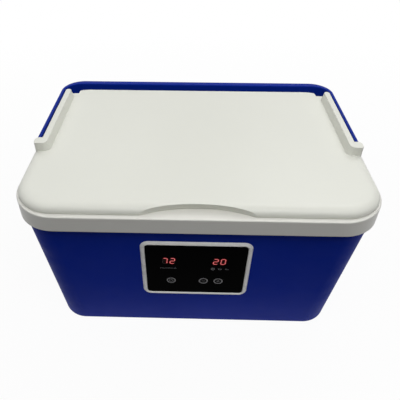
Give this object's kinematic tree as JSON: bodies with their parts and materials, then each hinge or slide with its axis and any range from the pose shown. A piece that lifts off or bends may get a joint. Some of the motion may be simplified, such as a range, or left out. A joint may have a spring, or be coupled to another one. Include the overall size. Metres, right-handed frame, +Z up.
{
  "type": "cold therapy machine",
  "caption": "Insulated cold therapy water box with lift-off lid, swing strap handle, front control panel with pressed keys, submersible pump and rear hose couplings.",
  "frame": {"origin": "on the floor below the middle of the collar, in the plane of the four moulded feet", "axes": "+X to the right of the control panel, +Y from the panel to the rear wall, +Z up"},
  "size_m": [0.3496, 0.2682, 0.1915],
  "materials": {
    "blue_shell": "satin moulded polypropylene",
    "blue_handle": "satin moulded polypropylene",
    "pin_blue": "satin moulded nylon",
    "white_liner": "satin moulded polypropylene",
    "lid_white": "satin moulded polypropylene",
    "inner_white": "moulded ABS",
    "bezel_white": "satin moulded ABS",
    "plate_white": "moulded ABS",
    "nut_white": "moulded nylon",
    "plunger_white": "moulded nylon",
    "impeller_white": "moulded acetal",
    "foam": "cut polyurethane foam",
    "fascia_black": "polished smoked acrylic",
    "key_black": "polished acrylic",
    "switch_black": "moulded nylon",
    "display_resin": "red tinted resin",
    "led_resin": "clear resin",
    "board_green": "solder mask over glass epoxy",
    "steel": "plain stainless steel",
    "coupling_grey": "moulded acetal",
    "seal_rubber": "moulded silicone rubber",
    "inlet_black": "moulded nylon",
    "pump_black": "moulded ABS",
    "magnet": "sintered ferrite",
    "ceramic": "ground ceramic",
    "hose_silicone": "translucent silicone",
    "cable_black": "smooth cable jacket"
  },
  "bodies": {
    "box": {"board_screws": "steel", "connector_plate": "plate_white", "control_board": "board_green", "control_cover": "inner_white", "coupling_nuts": "nut_white", "coupling_seals": "seal_rubber", "dc_inlet": "inlet_black", "hose_clamps": "steel", "inlet_nut": "steel", "key_switches": "switch_black", "lead_gland": "nut_white", "outer_shell": "blue_shell", "outlet_coupling": "coupling_grey", "outlet_hose": "hose_silicone", "panel_bezel": "bezel_white", "panel_fascia": "fascia_black", "pivot_pins": "pin_blue", "plate_screws": "steel", "pump_lead": "cable_black", "pump_motor": "pump_black", "pump_shaft": "ceramic", "pump_strainer": "pump_black", "return_coupling": "coupling_grey", "return_hose": "hose_silicone", "status_leds": "led_resin", "suction_feet": "seal_rubber", "temperature_display": "display_resin", "temperature_probe": "steel", "timer_display": "display_resin", "tub_liner": "white_liner", "volute_cover": "pump_black", "wall_foam": "foam", "wiring_harness": "cable_black"},
    "lid": {"lid_cover": "lid_white", "lid_liner": "white_liner", "lid_foam": "foam", "lid_seal": "seal_rubber"},
    "handle": {"carry_handle": "blue_handle"},
    "power_button": {"power_key": "key_black", "power_plunger": "plunger_white"},
    "minus_button": {"minus_key": "key_black", "minus_plunger": "plunger_white"},
    "plus_button": {"plus_key": "key_black", "plus_plunger": "plunger_white"},
    "rotor": {"rotor_magnet": "magnet", "pump_impeller": "impeller_white"}
  },
  "joints": [
    {"name": "lid_lift", "type": "slide", "parent": "box", "child": "lid", "axis": [0, 0, 1], "range_m": [0, 0.08]},
    {"name": "handle_swing", "type": "hinge", "parent": "box", "child": "handle", "pos_m": [0, 0.00725, 0.164], "axis": [1, 0, 0], "range_deg": [0, 180]},
    {"name": "power_press", "type": "slide", "parent": "box", "child": "power_button", "axis": [0, 0.9965, 0.0837], "range_m": [0, 0.0006], "stiffness_N_per_m": 600},
    {"name": "minus_press", "type": "slide", "parent": "box", "child": "minus_button", "axis": [0, 0.9965, 0.0837], "range_m": [0, 0.0006], "stiffness_N_per_m": 600},
    {"name": "plus_press", "type": "slide", "parent": "box", "child": "plus_button", "axis": [0, 0.9965, 0.0837], "range_m": [0, 0.0006], "stiffness_N_per_m": 600},
    {"name": "impeller_spin", "type": "hinge", "parent": "box", "child": "rotor", "pos_m": [-0.0025, 0.014, 0.055], "axis": [1, 0, 0], "continuous": true}
  ]
}
